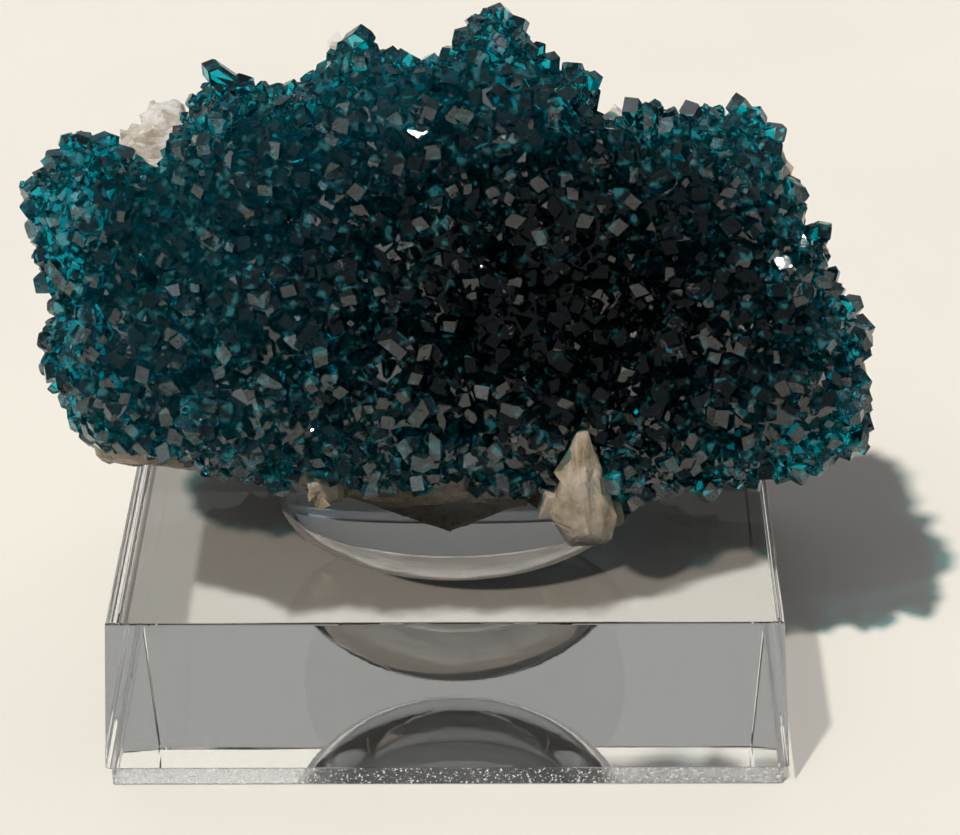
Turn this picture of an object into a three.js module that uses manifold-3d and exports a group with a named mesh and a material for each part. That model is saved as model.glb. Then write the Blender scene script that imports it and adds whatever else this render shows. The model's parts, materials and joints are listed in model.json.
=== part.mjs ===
// Dioptase druse on a pale calcite matrix, standing in a scooped clear acrylic block.
// Millimetres, +Z up, front towards -Y. The origin is the centre of the block's underside.

import * as THREE from "three";
import { mergeVertices } from "three/addons/utils/BufferGeometryUtils.js";
import { ConvexGeometry } from "three/addons/geometries/ConvexGeometry.js";
import Module from "manifold-3d";

const wasm = await Module();
wasm.setup();

// Driving dimensions: the acrylic block
const BLOCK_HEIGHT = 25.4;
const BLOCK_TOP_WIDTH = 87;
const BLOCK_TOP_DEPTH = 66;
const BLOCK_DRAFT = THREE.MathUtils.degToRad(3.64);
const FOOT_HEIGHT = 3.1;
const FOOT_INSET = 0.7;
const RECESS_CENTRE = [1, 0];
const RECESS_RADII = [24.8, 17.6, 22.9];
const RECESS_ROUND = 26;
const RECESS_RINGS = 12;

// Driving dimensions: the specimen, a plate that leans back against the recess.
// Plate coordinates are u across, v up the plate and w out of its crystal face.
const CLEARANCE = 0.3;
const PLATE_LEAN = THREE.MathUtils.degToRad(25);
const PLATE_FOOT = [0, -13, 31];
const SLAB_FRONT = -2.2;
const SLAB_THICKNESS = 9;
const SLAB_BEVEL = 1.2;
const SHEET_FRONT = 3;
const SHEET_BACK = -4.2;
const SHEET_BEVEL = 1.6;
const SHEET_GROWTH = 0.6;
const LOBE_ROUND = 9;
const LOBE_RINGS = 6;
const LOBE_BACK = 0.3;

// Driving dimensions: the crystals of the crust. The field is the patch of plate that they are
// strewn over, in rows, and a crystal is sunk by its root below the surface that it stands on.
const FIELD_U = [-57, 59];
const FIELD_V = [0, 64];
const FIELD_PITCH = 8.4;
const FIELD_JITTER = 2.2;
const CRYSTAL_RADIUS = [1.8, 2.9];
const CRYSTAL_RISE = [2.6, 4.4];
const CRYSTAL_TILT = 0.5;
const RIM_PITCH = 8.6;
const RIM_RADIUS = [1.5, 2.4];
const RIM_RISE = [3, 4.4];
const RIM_SETBACK = 1.6;
const RIM_DEPTH = [-0.8, 2.4];
const RIM_LEAN = [-0.3, 0.8];
const RIM_SCATTER = 0.3;
const RHOMB_SLOPE = 1.233;
const ROOT_LENGTH = 2.6;
const ROOT_TAPER = 0.85;
const FIELD_SEED = 20261;
const RIM_SEED = 77;

const DIOPTASE = { color: 0x06555a, roughness: 0.12, metalness: 0 };
const CALCITE = { color: 0xcfc4b2, roughness: 0.6, metalness: 0 };
const ACRYLIC = { color: 0xe6ecec, roughness: 0.03, metalness: 0 };

// Outline of the crystal sheet in u, v, a little inside the tips of its crystals
const CRUST_OUTLINE = [
  [-52.5, 41.5], [-48.5, 46], [-43, 45], [-38.2, 41.5], [-35, 47.5], [-29.5, 53.5], [-20, 53],
  [-15.5, 56], [-10.5, 58.5], [-5, 56.5], [2, 58.5], [6, 61.5], [9.5, 59.5], [13, 54.5],
  [18, 53.5], [19.2, 49], [24.5, 48.5], [28, 50], [38, 50], [41, 47.5], [43.5, 42], [46, 36],
  [49, 31], [50.5, 26], [54.5, 22.5], [53, 17.5], [55, 12], [51, 6.5], [44, 4.5], [36, 3],
  [29, 2.5], [23, 0.5], [20.5, 4], [17.8, 8.6], [14.5, 3], [8, 2.2], [2, 4.4], [-6, 3.5],
  [-11, 2.8], [-17, 6.5], [-22, 3.8], [-31, 6], [-38, 8], [-45, 10], [-50, 15.5], [-51.5, 22],
  [-50.2, 27], [-52, 32], [-50.8, 37],
];

// Rounded swellings of the crust: centre u, v, w and radii along u, v, w
const CRUST_LOBES = [
  [-45, 38, -2, 9.4, 9, 8],
  [-40.5, 20, -3, 12.6, 14.2, 10.5],
  [-25.5, 42.5, -3, 11.2, 12, 10],
  [-22, 26, -3, 15, 13, 12],
  [-24, 13, -2.5, 15, 10.2, 11],
  [-8.5, 46.5, -3, 14, 12, 9.5],
  [7, 51, -2, 9.5, 10.2, 9],
  [-3, 30, -4, 15.5, 13, 10],
  [-4.5, 14.5, -2.5, 14.5, 11.8, 11.5],
  [15, 37, -3, 14, 14, 9.5],
  [31, 40, -3, 13.5, 11, 10],
  [36.5, 25.5, -3, 16, 12.5, 12.5],
  [41.5, 15, -2.5, 14.2, 11, 12.5],
  [27, 12, -2, 10.2, 11, 12],
  [11.5, 12.5, -2, 9.8, 10.4, 12.5],
];

// Largest crystals, standing on the rim: base u, v, w, pointing direction, radius and rise
const RIM_GIANTS = [
  { at: [6, 58.5, 2], to: [0.1, 1, 0.15], radius: 3.8, rise: 6.6 },
  { at: [15.5, 52.5, 2], to: [0.65, 0.8, 0.1], radius: 2.8, rise: 5.4 },
  { at: [26.8, 48.5, 2], to: [-0.1, 1, 0.2], radius: 2.2, rise: 4 },
  { at: [-46.8, 43.8, 2], to: [-0.15, 1, 0.2], radius: 2.9, rise: 5.6 },
  { at: [-28.5, 52, 2], to: [-0.05, 1, 0.3], radius: 2.5, rise: 4.8 },
  { at: [-11, 57.5, 2], to: [-0.05, 1, 0.1], radius: 1.9, rise: 3.2 },
  { at: [38.5, 48.5, 2], to: [0.5, 0.85, 0.1], radius: 2.3, rise: 4 },
  { at: [46.5, 34, 2], to: [1, 0.1, 0.15], radius: 2, rise: 3.6 },
  { at: [44, 37.5, 2], to: [0.9, 0.35, 0.2], radius: 1.7, rise: 2.8 },
  { at: [53, 22.5, 2], to: [1, 0.2, 0.2], radius: 2.2, rise: 3.4 },
  { at: [53.2, 10.5, 2], to: [1, -0.25, 0.2], radius: 2.3, rise: 3.2 },
  { at: [-51.6, 40.7, 2], to: [-1, 0.35, 0.2], radius: 2, rise: 4.2 },
  { at: [-50.5, 33, 2], to: [-1, 0, 0.2], radius: 2, rise: 3.6 },
  { at: [-50, 22, 2], to: [-1, -0.1, 0.2], radius: 2, rise: 3.4 },
  { at: [24.5, 2, 2], to: [-0.2, -1, 0.3], radius: 2, rise: 3 },
];

// Outline of the pale slab behind the crust, showing past it in a few places
const SLAB_OUTLINE = [
  [-47, 5.2], [-48.5, 12], [-48.8, 24], [-48.5, 34], [-47, 41], [-43.5, 47.5], [-38, 52.2],
  [-33.5, 50], [-26, 51.5], [-17.5, 52], [-15.8, 57], [-12, 57.5], [0, 56], [7, 58.5],
  [14, 52.5], [20.2, 50.6], [24, 50.4], [29, 47], [38, 47.5], [42.6, 46.6], [46.4, 40],
  [45, 35], [48.5, 28], [53, 21.5], [56, 17.5], [56.2, 14.8], [52, 9.5], [44, 7], [34, 6],
  [24, 3.5], [14, 1.5], [4, -0.5], [-8, -1.5], [-21.5, 2.4],
];

// Lumps of the matrix behind the slab: plate centre, radii and a seed
const ROCK_LUMPS = [
  { at: [-22, 24, -12], radii: [24, 20, 9.5], seed: 1.3 },
  { at: [16, 26, -12], radii: [30, 23, 11], seed: 2.1 },
  { at: [-4, 42, -10], radii: [26, 13, 8], seed: 3.7 },
  { at: [34, 22, -10], radii: [18, 14, 8.5], seed: 4.4 },
  { at: [-36, 34, -9], radii: [11, 14, 6.5], seed: 5.2 },
  { at: [0, 8, -12], radii: [26, 13, 12], seed: 6.6 },
];
// Lumps of the matrix in and over the recess, placed upright: x, y, z
const KEEL_LUMPS = [
  { at: [0, 9, 29], radii: [21, 13, 11.5], seed: 8.2 },
  { at: [1, -2.5, 28.4], radii: [15, 5.4, 4.4], seed: 9.4 },
  { at: [16, -4.5, 22], radii: [5.6, 5.4, 7], seed: 7.1 },
];
const LUMP_ROUGHNESS = 0.09;
const LUMP_WAVES = [5.1, 4.3, 6.2];

// How far a corner moves out for its faces to move out by one
const RIDGE_GROWTH = 1.6;

// Corner points of the bare calcite ridge that stands between two crust lobes
const RIDGE_POINTS = [
  [17, 10.2, 10.2], [18.6, 10.4, 9.6], [15.8, 4.5, 9.4], [20, 4.8, 9], [13.6, -1.2, 6.6],
  [22.4, -1, 6.4], [17.2, -4.6, 5], [21.8, -4.4, 4.6], [17.5, 3.8, 11.2], [18.6, -3.4, 7.8],
  [13.4, 0, -5], [22.6, 0, -5], [17.6, 9.5, -3], [20.5, -6.5, -2], [16.5, -6.5, -2],
];

// Edge directions of a calcite cleavage rhomb, whose corners are 102 degrees
const CLEAVAGE_EDGES = [[1, 0, 0], [-0.208, 0.978, 0], [-0.208, -0.257, 0.944]];

// Calcite rhombs that show at the edge or stand on the back: place, edge lengths and turns
const CALCITE_RHOMBS = [
  { at: [-36.7, 50.6, -6.5], edges: [4.4, 4.2, 4.6], turn: [0.2, 0.3, 0.15] },
  { at: [-13.7, 58.9, -5.5], edges: [3, 4, 4], turn: [0.1, 0.2, -0.2] },
  { at: [22.8, 49.6, -5.5], edges: [3.6, 3.4, 4], turn: [0.3, 0.1, 0.7] },
  { at: [-16.2, 2.6, -0.8], edges: [5, 4.4, 4.6], turn: [0.5, 0.4, 0.2] },
  { at: [-30, 36, -19], edges: [9, 8, 7], turn: [0.6, 0.5, 0.3] },
  { at: [20, 42, -18], edges: [11, 9, 9], turn: [0.3, 0.8, 0.5] },
  { at: [34, 26, -15], edges: [10, 9, 8], turn: [0.9, 0.2, 0.4] },
  { at: [-4, 30, -20], edges: [12, 10, 8], turn: [0.2, 0.5, 0.9] },
];

// Solids and meshes

function solidOf(geometry) {
  const bare = geometry.clone();
  bare.deleteAttribute("normal");
  bare.deleteAttribute("uv");
  const merged = mergeVertices(bare, 1e-4);
  const vertProperties = new Float32Array(merged.attributes.position.array);
  const triVerts = new Uint32Array(merged.index.array);
  return new wasm.Manifold(new wasm.Mesh({ numProp: 3, vertProperties, triVerts }));
}

function geometryOf(solid) {
  const mesh = solid.getMesh();
  const geometry = new THREE.BufferGeometry();
  geometry.setAttribute("position", new THREE.BufferAttribute(mesh.vertProperties, 3));
  geometry.setIndex(new THREE.BufferAttribute(mesh.triVerts, 1));
  geometry.computeVertexNormals();
  return geometry;
}

function joined(geometries) {
  let solids = geometries.map(solidOf);
  while (solids.length > 1) {
    const pairs = [];
    for (let i = 0; i < solids.length; i += 2) {
      pairs.push(i + 1 < solids.length ? solids[i].add(solids[i + 1]) : solids[i]);
    }
    solids = pairs;
  }
  return solids[0];
}

function largestBody(solid) {
  const bodies = solid.decompose();
  return bodies.reduce((best, body) => (body.volume() > best.volume() ? body : best));
}

function moveVertices(geometry, move) {
  const position = geometry.attributes.position;
  const point = new THREE.Vector3();
  for (let i = 0; i < position.count; i += 1) {
    point.fromBufferAttribute(position, i);
    move(point);
    position.setXYZ(i, point.x, point.y, point.z);
  }
  return geometry;
}

// A small repeatable random source
function randomSource(seed) {
  let state = seed;
  return (low = 0, high = 1) => {
    state = (Math.imul(state, 1664525) + 1013904223) >>> 0;
    return low + (high - low) * (state / 4294967296);
  };
}

// The acrylic block

function blockGeometry(grow) {
  const draftRun = Math.tan(BLOCK_DRAFT);
  const geometry = new THREE.BoxGeometry(2, 2, 2, 1, 1, 2);
  return moveVertices(geometry, (point) => {
    const level = Math.round(point.z);
    const z = [0, FOOT_HEIGHT, BLOCK_HEIGHT][level + 1];
    const foot = level < 0 ? FOOT_INSET : 0;
    const spread = (BLOCK_HEIGHT - Math.max(z, FOOT_HEIGHT)) * draftRun - foot + grow;
    point.x *= BLOCK_TOP_WIDTH / 2 + spread;
    point.y *= BLOCK_TOP_DEPTH / 2 + spread;
    point.z = z + level * grow;
  });
}

function recessGeometry(shrink) {
  const [radiusX, radiusY, radiusZ] = RECESS_RADII;
  const geometry = new THREE.SphereGeometry(1, RECESS_ROUND, RECESS_RINGS);
  geometry.rotateX(Math.PI / 2);
  geometry.scale(radiusX - shrink, radiusY - shrink, radiusZ - shrink);
  return geometry.translate(RECESS_CENTRE[0], RECESS_CENTRE[1], BLOCK_HEIGHT);
}

function blockSolid(grow = 0) {
  return solidOf(blockGeometry(grow)).subtract(solidOf(recessGeometry(grow)));
}

// The crust: a lobed sheet with hexagonal crystals grown from it

function extrudedOutline(outline, back, front, bevel, growth) {
  const shape = new THREE.Shape(outline.map(([u, v]) => new THREE.Vector2(u, v)));
  const geometry = new THREE.ExtrudeGeometry(shape, {
    depth: front - back - 2 * bevel,
    bevelSize: bevel,
    bevelOffset: growth - bevel,
    bevelThickness: bevel,
    bevelSegments: 1,
  });
  return geometry.translate(0, 0, back + bevel);
}

function lobeGeometry([u, v, w, radiusU, radiusV, radiusW]) {
  const geometry = new THREE.SphereGeometry(1, LOBE_ROUND, LOBE_RINGS);
  geometry.rotateX(Math.PI / 2);
  moveVertices(geometry, (point) => {
    point.z *= point.z < 0 ? LOBE_BACK : 1;
  });
  return geometry.scale(radiusU, radiusV, radiusW).translate(u, v, w);
}

// Hexagonal prism whose end is three rhombic faces meeting in a point
function crystalGeometry(radius, length) {
  const geometry = new THREE.CylinderGeometry(radius, radius * ROOT_TAPER, length, 6, 1);
  const apex = length / 2;
  return moveVertices(geometry, (point) => {
    if (point.y < 0) {
      return;
    }
    const reach = Math.hypot(point.x, point.z);
    if (reach < radius / 2) {
      point.y = apex;
      return;
    }
    const corner = Math.round(Math.atan2(point.x, point.z) / (Math.PI / 3));
    const drop = Math.abs(corner) % 2 === 0 ? 0.5 : 1;
    point.y = apex - drop * RHOMB_SLOPE * radius;
  });
}

function standingCrystal({ at, to, radius, rise, spin = 0 }) {
  const axis = new THREE.Vector3(...to).normalize();
  const length = rise + ROOT_LENGTH + RHOMB_SLOPE * radius;
  const turn = new THREE.Quaternion().setFromUnitVectors(new THREE.Vector3(0, 1, 0), axis);
  const geometry = crystalGeometry(radius, length);
  geometry.rotateY(spin);
  geometry.applyQuaternion(turn);
  const centre = new THREE.Vector3(...at).addScaledVector(axis, rise - length / 2);
  return geometry.translate(centre.x, centre.y, centre.z);
}

function isInside(outline, u, v) {
  let inside = false;
  for (let i = 0, j = outline.length - 1; i < outline.length; j = i, i += 1) {
    const [ui, vi] = outline[i];
    const [uj, vj] = outline[j];
    if (vi > v !== vj > v && u < ((uj - ui) * (v - vi)) / (vj - vi) + ui) {
      inside = !inside;
    }
  }
  return inside;
}

// Front surface of the lobed sheet above a place on the plate, with its direction
function crustSurface(u, v) {
  let height = SHEET_FRONT;
  let direction = new THREE.Vector3(0, 0, 1);
  for (const [cu, cv, cw, radiusU, radiusV, radiusW] of CRUST_LOBES) {
    const du = (u - cu) / radiusU;
    const dv = (v - cv) / radiusV;
    const room = 1 - du * du - dv * dv;
    if (room <= 0 || cw + radiusW * Math.sqrt(room) <= height) {
      continue;
    }
    height = cw + radiusW * Math.sqrt(room);
    direction = new THREE.Vector3(du / radiusU, dv / radiusV, Math.sqrt(room) / radiusW);
    direction.normalize();
  }
  return { height, direction };
}

function fieldCrystals() {
  const random = randomSource(FIELD_SEED);
  const crystals = [];
  const rowStep = FIELD_PITCH * Math.sqrt(0.75);
  const rows = Math.ceil((FIELD_V[1] - FIELD_V[0]) / rowStep);
  const columns = Math.ceil((FIELD_U[1] - FIELD_U[0]) / FIELD_PITCH);
  for (let row = 0; row < rows; row += 1) {
    for (let column = 0; column < columns; column += 1) {
      const stagger = (row % 2) / 2;
      const across = (column + stagger) * FIELD_PITCH;
      const u = FIELD_U[0] + across + random(-FIELD_JITTER, FIELD_JITTER);
      const v = FIELD_V[0] + row * rowStep + random(-FIELD_JITTER, FIELD_JITTER);
      const tilt = [random(-CRYSTAL_TILT, CRYSTAL_TILT), random(-CRYSTAL_TILT, CRYSTAL_TILT)];
      const radius = random(...CRYSTAL_RADIUS);
      const rise = random(...CRYSTAL_RISE);
      const spin = random(0, Math.PI);
      if (!isInside(CRUST_OUTLINE, u, v)) {
        continue;
      }
      const { height, direction } = crustSurface(u, v);
      const to = [direction.x + tilt[0], direction.y + tilt[1], direction.z];
      crystals.push(standingCrystal({ at: [u, v, height], to, radius, rise, spin }));
    }
  }
  return crystals;
}

function rimCrystals() {
  const random = randomSource(RIM_SEED);
  const corners = CRUST_OUTLINE.map(([u, v]) => new THREE.Vector3(u, v, 0));
  const rim = new THREE.CatmullRomCurve3(corners, true, "centripetal");
  const count = Math.round(rim.getLength() / RIM_PITCH);
  const crystals = [];
  for (let i = 0; i < count; i += 1) {
    const along = (i + 1 + random(-RIM_SCATTER, RIM_SCATTER)) / (count + 1);
    const point = rim.getPointAt(along);
    const tangent = rim.getTangentAt(along);
    const outward = new THREE.Vector3(-tangent.y, tangent.x, 0);
    point.addScaledVector(outward, -RIM_SETBACK);
    outward.x += random(-RIM_SCATTER, RIM_SCATTER);
    outward.y += random(-RIM_SCATTER, RIM_SCATTER);
    crystals.push(standingCrystal({
      at: [point.x, point.y, random(...RIM_DEPTH)],
      to: [outward.x, outward.y, random(...RIM_LEAN)],
      radius: random(...RIM_RADIUS),
      rise: random(...RIM_RISE),
      spin: random(0, Math.PI),
    }));
  }
  return crystals;
}

function crustSolid() {
  const sheet = extrudedOutline(CRUST_OUTLINE, SHEET_BACK, SHEET_FRONT, SHEET_BEVEL, SHEET_GROWTH);
  return joined([
    sheet,
    ...CRUST_LOBES.map(lobeGeometry),
    ...fieldCrystals(),
    ...rimCrystals(),
    ...RIM_GIANTS.map(standingCrystal),
  ]);
}

// The matrix: a pale slab with lumps, a bare ridge, a keel and calcite rhombs

function lumpGeometry({ at, radii, seed }, grow) {
  const geometry = new THREE.IcosahedronGeometry(1, 1);
  moveVertices(geometry, (point) => {
    const waves = point.toArray().map((x, i) => Math.sin(LUMP_WAVES[i] * x + (i + 1) * seed));
    point.multiplyScalar(1 + LUMP_ROUGHNESS * (waves[0] + waves[1] + waves[2]));
  });
  geometry.scale(radii[0] + grow, radii[1] + grow, radii[2] + grow);
  return geometry.translate(...at);
}

function rhombGeometry({ at, edges, turn }, grow) {
  const [lengthA, lengthB, lengthC] = edges.map((edge) => edge + 2 * grow);
  const geometry = new THREE.BoxGeometry(1, 1, 1);
  geometry.applyMatrix4(new THREE.Matrix4().makeBasis(
    new THREE.Vector3(...CLEAVAGE_EDGES[0]).multiplyScalar(lengthA),
    new THREE.Vector3(...CLEAVAGE_EDGES[1]).multiplyScalar(lengthB),
    new THREE.Vector3(...CLEAVAGE_EDGES[2]).multiplyScalar(lengthC),
  ));
  geometry.rotateX(turn[0]);
  geometry.rotateY(turn[1]);
  geometry.rotateZ(turn[2]);
  return geometry.translate(...at);
}

function ridgeGeometry(grow) {
  const points = RIDGE_POINTS.map((point) => new THREE.Vector3(...point));
  const centre = new THREE.Vector3();
  points.forEach((point) => centre.addScaledVector(point, 1 / points.length));
  const spread = points.map((point) => {
    const away = point.clone().sub(centre);
    return point.clone().addScaledVector(away.normalize(), RIDGE_GROWTH * grow);
  });
  return new ConvexGeometry(spread);
}

function plateMatrix() {
  const turn = new THREE.Matrix4().makeRotationX(Math.PI / 2 - PLATE_LEAN);
  return turn.setPosition(...PLATE_FOOT);
}

function matrixSolid(grow) {
  const upright = plateMatrix().invert();
  const back = SLAB_FRONT - SLAB_THICKNESS;
  return joined([
    extrudedOutline(SLAB_OUTLINE, back - grow, SLAB_FRONT + grow, SLAB_BEVEL, grow),
    ridgeGeometry(grow),
    ...KEEL_LUMPS.map((lump) => lumpGeometry(lump, grow).applyMatrix4(upright)),
    ...ROCK_LUMPS.map((lump) => lumpGeometry(lump, grow)),
    ...CALCITE_RHOMBS.map((rhomb) => rhombGeometry(rhomb, grow)),
  ]);
}

function meshNamed(name, solid, finish) {
  const mesh = new THREE.Mesh(geometryOf(solid), new THREE.MeshStandardMaterial(finish));
  mesh.name = name;
  return mesh;
}

// Assembly

const onPlate = plateMatrix();
const blockRoom = geometryOf(blockSolid(CLEARANCE)).applyMatrix4(onPlate.clone().invert());
const matrix = largestBody(matrixSolid(0).subtract(solidOf(blockRoom)));
const crust = largestBody(crustSolid().subtract(matrixSolid(CLEARANCE)));

const specimen = new THREE.Group();
specimen.rotation.x = Math.PI / 2 - PLATE_LEAN;
specimen.position.set(...PLATE_FOOT);
specimen.add(meshNamed("matrix", matrix, CALCITE));
specimen.add(meshNamed("dioptase_crust", crust, DIOPTASE));

const dioptase = new THREE.Group();
dioptase.add(meshNamed("acrylic_base", blockSolid(), ACRYLIC));
dioptase.add(specimen);

export default dioptase;
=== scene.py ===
"""Looks of a dioptase druse on pale calcite that stands in a scooped clear acrylic block.

Lengths are in metres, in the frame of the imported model: +Z up, the crystal face towards -Y.
"""

import json
import logging
import math
import random
from collections.abc import Callable, Iterable
from dataclasses import dataclass
from enum import Enum
from itertools import combinations

import bmesh
import bpy
import numpy as np
from mathutils import Matrix, Quaternion, Vector, noise

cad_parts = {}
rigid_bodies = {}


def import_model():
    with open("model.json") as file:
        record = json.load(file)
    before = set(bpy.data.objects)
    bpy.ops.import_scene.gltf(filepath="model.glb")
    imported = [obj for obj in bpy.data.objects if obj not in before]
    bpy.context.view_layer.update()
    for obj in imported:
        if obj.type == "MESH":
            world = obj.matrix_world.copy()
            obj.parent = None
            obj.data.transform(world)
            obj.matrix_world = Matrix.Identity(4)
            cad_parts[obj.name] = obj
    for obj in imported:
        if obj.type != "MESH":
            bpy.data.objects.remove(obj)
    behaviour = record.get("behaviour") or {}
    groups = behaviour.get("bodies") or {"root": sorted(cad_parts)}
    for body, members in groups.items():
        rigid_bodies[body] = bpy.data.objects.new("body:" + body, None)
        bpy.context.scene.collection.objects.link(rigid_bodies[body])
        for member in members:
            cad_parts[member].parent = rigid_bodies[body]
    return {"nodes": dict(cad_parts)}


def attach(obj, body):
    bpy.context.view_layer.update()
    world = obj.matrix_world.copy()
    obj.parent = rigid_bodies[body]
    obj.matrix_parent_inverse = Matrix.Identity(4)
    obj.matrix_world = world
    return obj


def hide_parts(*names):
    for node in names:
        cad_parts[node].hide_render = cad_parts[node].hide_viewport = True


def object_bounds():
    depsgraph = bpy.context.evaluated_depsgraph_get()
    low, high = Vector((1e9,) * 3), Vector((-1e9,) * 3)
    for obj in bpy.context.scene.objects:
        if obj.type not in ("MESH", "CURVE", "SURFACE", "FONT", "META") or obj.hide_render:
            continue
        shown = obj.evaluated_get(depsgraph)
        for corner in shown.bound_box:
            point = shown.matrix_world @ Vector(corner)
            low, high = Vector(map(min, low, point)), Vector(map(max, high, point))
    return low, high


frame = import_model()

LOG = logging.getLogger("dioptase")
CAD_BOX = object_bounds()

MM = 0.001
UP = Vector((0, 0, 1))
# The plate that the crystals stand on leans back by this angle
PLATE_LEAN = math.radians(25)
PLATE_OUT = Vector((0, -math.cos(PLATE_LEAN), math.sin(PLATE_LEAN)))
PLATE_UP = Vector((0, math.sin(PLATE_LEAN), math.cos(PLATE_LEAN)))
PLATE_FOOT = Vector((0, -13, 31)) * MM
# Corners of shapes of radius 1 that are nearer than this are one corner
SAME_CORNER = 1e-5


class Slot(Enum):
    """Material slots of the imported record."""

    ACRYLIC = "clear_acrylic"
    CALCITE = "calcite_matrix"
    DIOPTASE = "dioptase"


class NodeSketch:
    """Adds nodes to one material or world and links them."""

    def __init__(self, owner: bpy.types.ID) -> None:
        """Empties the node tree of a material or world.

        Args:
            owner: The material or world to draw in.
        """
        owner.use_nodes = True
        self.tree = owner.node_tree
        self.tree.nodes.clear()

    def node(self, kind: str, inputs: dict | None = None, **settings: object) -> bpy.types.Node:
        """Adds one node.

        Args:
            kind: The node's type name.
            inputs: Plain values or output sockets, by input name or index.
            settings: Other properties of the node.

        Returns:
            The new node.
        """
        made = self.tree.nodes.new(kind)
        for name, value in settings.items():
            setattr(made, name, value)
        for name, value in (inputs or {}).items():
            if isinstance(value, bpy.types.NodeSocket):
                self.tree.links.new(value, made.inputs[name])
            else:
                made.inputs[name].default_value = value
        return made

    def ramp(self, source: bpy.types.NodeSocket, stops: Iterable[tuple]) -> bpy.types.NodeSocket:
        """Adds a colour ramp.

        Args:
            source: What drives the ramp.
            stops: Pairs of a position and a grey value or a colour.

        Returns:
            The ramp's colour output.
        """
        made = self.node("ShaderNodeValToRGB", {"Fac": source})
        elements = made.color_ramp.elements
        for index, (position, colour) in enumerate(stops):
            element = elements[index] if index < len(elements) else elements.new(position)
            element.position = position
            rgb = colour if isinstance(colour, tuple) else (colour,) * 3
            element.color = (*rgb, 1)
        return made.outputs["Color"]

    def noise(self, scale: float, detail: float = 3, rough: float = 0.5) -> bpy.types.NodeSocket:
        """Adds noise in object coordinates.

        Args:
            scale: Waves per metre.
            detail: How many finer layers it has.
            rough: How strong the finer layers are.

        Returns:
            The noise's factor output.
        """
        place = self.node("ShaderNodeTexCoord").outputs["Object"]
        inputs = {"Vector": place, "Scale": scale, "Detail": detail, "Roughness": rough}
        return self.node("ShaderNodeTexNoise", inputs).outputs["Fac"]

    def math(self, operation: str, *values: float | bpy.types.NodeSocket) -> bpy.types.NodeSocket:
        """Adds one Math node.

        Args:
            operation: What it does.
            values: Its inputs, in order.

        Returns:
            Its result.
        """
        made = self.node("ShaderNodeMath", dict(enumerate(values)), operation=operation)
        return made.outputs["Value"]

    def bump(self, height: bpy.types.NodeSocket, depth: float) -> bpy.types.NodeSocket:
        """Adds a bump.

        Args:
            height: The height, from 0 to 1.
            depth: What a height of 1 stands for.

        Returns:
            The bump's normal output.
        """
        inputs = {"Height": height, "Distance": depth, "Strength": 1.0}
        return self.node("ShaderNodeBump", inputs).outputs["Normal"]

    def passing(self, surface: bpy.types.Node,
                tint: tuple | bpy.types.NodeSocket) -> bpy.types.Node:
        """Lets a share of the lamps' light through a surface.

        Args:
            surface: The surface shader.
            tint: The share that passes, as a colour.

        Returns:
            The shader to use in its place.
        """
        shadow = self.node("ShaderNodeLightPath").outputs["Is Shadow Ray"]
        colour = (*tint, 1) if isinstance(tint, tuple) else tint
        clear = self.node("ShaderNodeBsdfTransparent", {"Color": colour})
        return self.node("ShaderNodeMixShader", {
            "Fac": shadow, 1: surface.outputs[0], 2: clear.outputs[0],
        })

    def finish(self, surface: bpy.types.Node, volume: bpy.types.Node | None = None) -> None:
        """Links a surface shader, and a volume shader if there is one, to the output.

        Args:
            surface: The surface shader.
            volume: The volume shader.
        """
        out = self.node("ShaderNodeOutputMaterial", {"Surface": surface.outputs[0]})
        if volume is not None:
            self.tree.links.new(volume.outputs[0], out.inputs["Volume"])


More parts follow.
